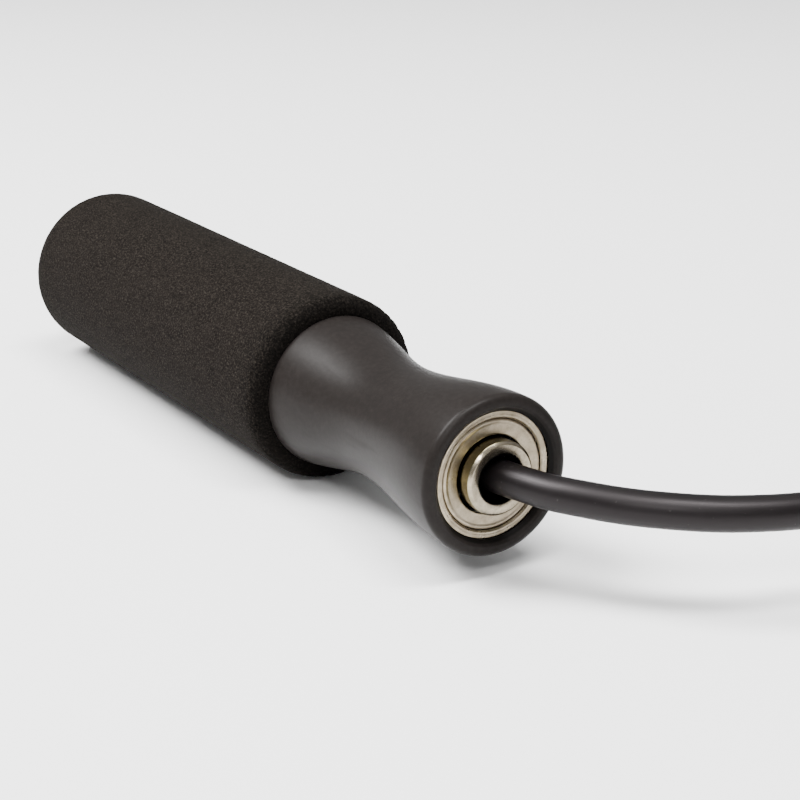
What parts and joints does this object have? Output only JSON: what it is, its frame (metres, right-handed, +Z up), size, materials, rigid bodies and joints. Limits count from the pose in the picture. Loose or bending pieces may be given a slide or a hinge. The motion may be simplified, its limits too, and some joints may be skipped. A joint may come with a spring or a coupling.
{
  "type": "jump rope",
  "caption": "Bearing jump rope with foam-covered handles, ball bearing in each rounded nose, and one round rope whose spare length is coiled and tied between them.",
  "frame": {"origin": "on the surface that the handles lie on, at the centre of the box around the two handles", "axes": "+X from handle a to handle b, +Y from the noses towards the end caps, +Z up"},
  "size_m": [0.3764, 0.1628, 0.0352],
  "materials": {
    "handle_plastic": "fine-textured dark grey plastic",
    "grip_foam": "soft closed-cell foam, brown-black, finely speckled",
    "cap_plastic": "matte black plastic",
    "bearing_steel": "ground bearing steel, warm tint",
    "shield_steel": "turned sheet steel",
    "cage_brass": "plain",
    "ball_steel": "polished",
    "washer_steel": "bright zinc",
    "stop_brass": "turned",
    "screw_steel": "black oxide",
    "rope": "smooth black, soft sheen",
    "tie_strap": "black woven strap"
  },
  "bodies": {
    "rope": {"rope_lead_a": "rope", "rope_lead_b": "rope", "rope_coil": "rope", "coil_tie": "tie_strap", "bearing_inner_ring_a": "bearing_steel", "thrust_washer_a": "washer_steel", "rope_stop_a": "stop_brass", "stop_screw_a": "screw_steel", "bearing_inner_ring_b": "bearing_steel", "thrust_washer_b": "washer_steel", "rope_stop_b": "stop_brass", "stop_screw_b": "screw_steel"},
    "handle_a": {"handle_core_a": "handle_plastic", "foam_grip_a": "grip_foam", "end_cap_a": "cap_plastic", "bearing_outer_ring_a": "bearing_steel", "front_shield_a": "shield_steel", "rear_shield_a": "shield_steel"},
    "handle_b": {"handle_core_b": "handle_plastic", "foam_grip_b": "grip_foam", "end_cap_b": "cap_plastic", "bearing_outer_ring_b": "bearing_steel", "front_shield_b": "shield_steel", "rear_shield_b": "shield_steel"},
    "cage_a": {"ball_cage_a": "cage_brass", "bearing_balls_a": "ball_steel"},
    "cage_b": {"ball_cage_b": "cage_brass", "bearing_balls_b": "ball_steel"}
  },
  "joints": [
    {"name": "handle_a_spin", "type": "hinge", "parent": "rope", "child": "handle_a", "pos_m": [-0.095, -0.06935, 0.0176], "axis": [-0.5, 0.866, 0], "continuous": true},
    {"name": "handle_b_spin", "type": "hinge", "parent": "rope", "child": "handle_b", "pos_m": [0.095, -0.06935, 0.0176], "axis": [0.5, 0.866, 0], "continuous": true},
    {"name": "cage_a_spin", "type": "hinge", "parent": "rope", "child": "cage_a", "pos_m": [-0.095, -0.06935, 0.0176], "axis": [-0.5, 0.866, 0], "continuous": true},
    {"name": "cage_b_spin", "type": "hinge", "parent": "rope", "child": "cage_b", "pos_m": [0.095, -0.06935, 0.0176], "axis": [0.5, 0.866, 0], "continuous": true}
  ],
  "couplings": [
    {"joint": "cage_a_spin", "follows": "handle_a_spin", "ratio": 0.6323},
    {"joint": "cage_b_spin", "follows": "handle_b_spin", "ratio": 0.6323}
  ]
}
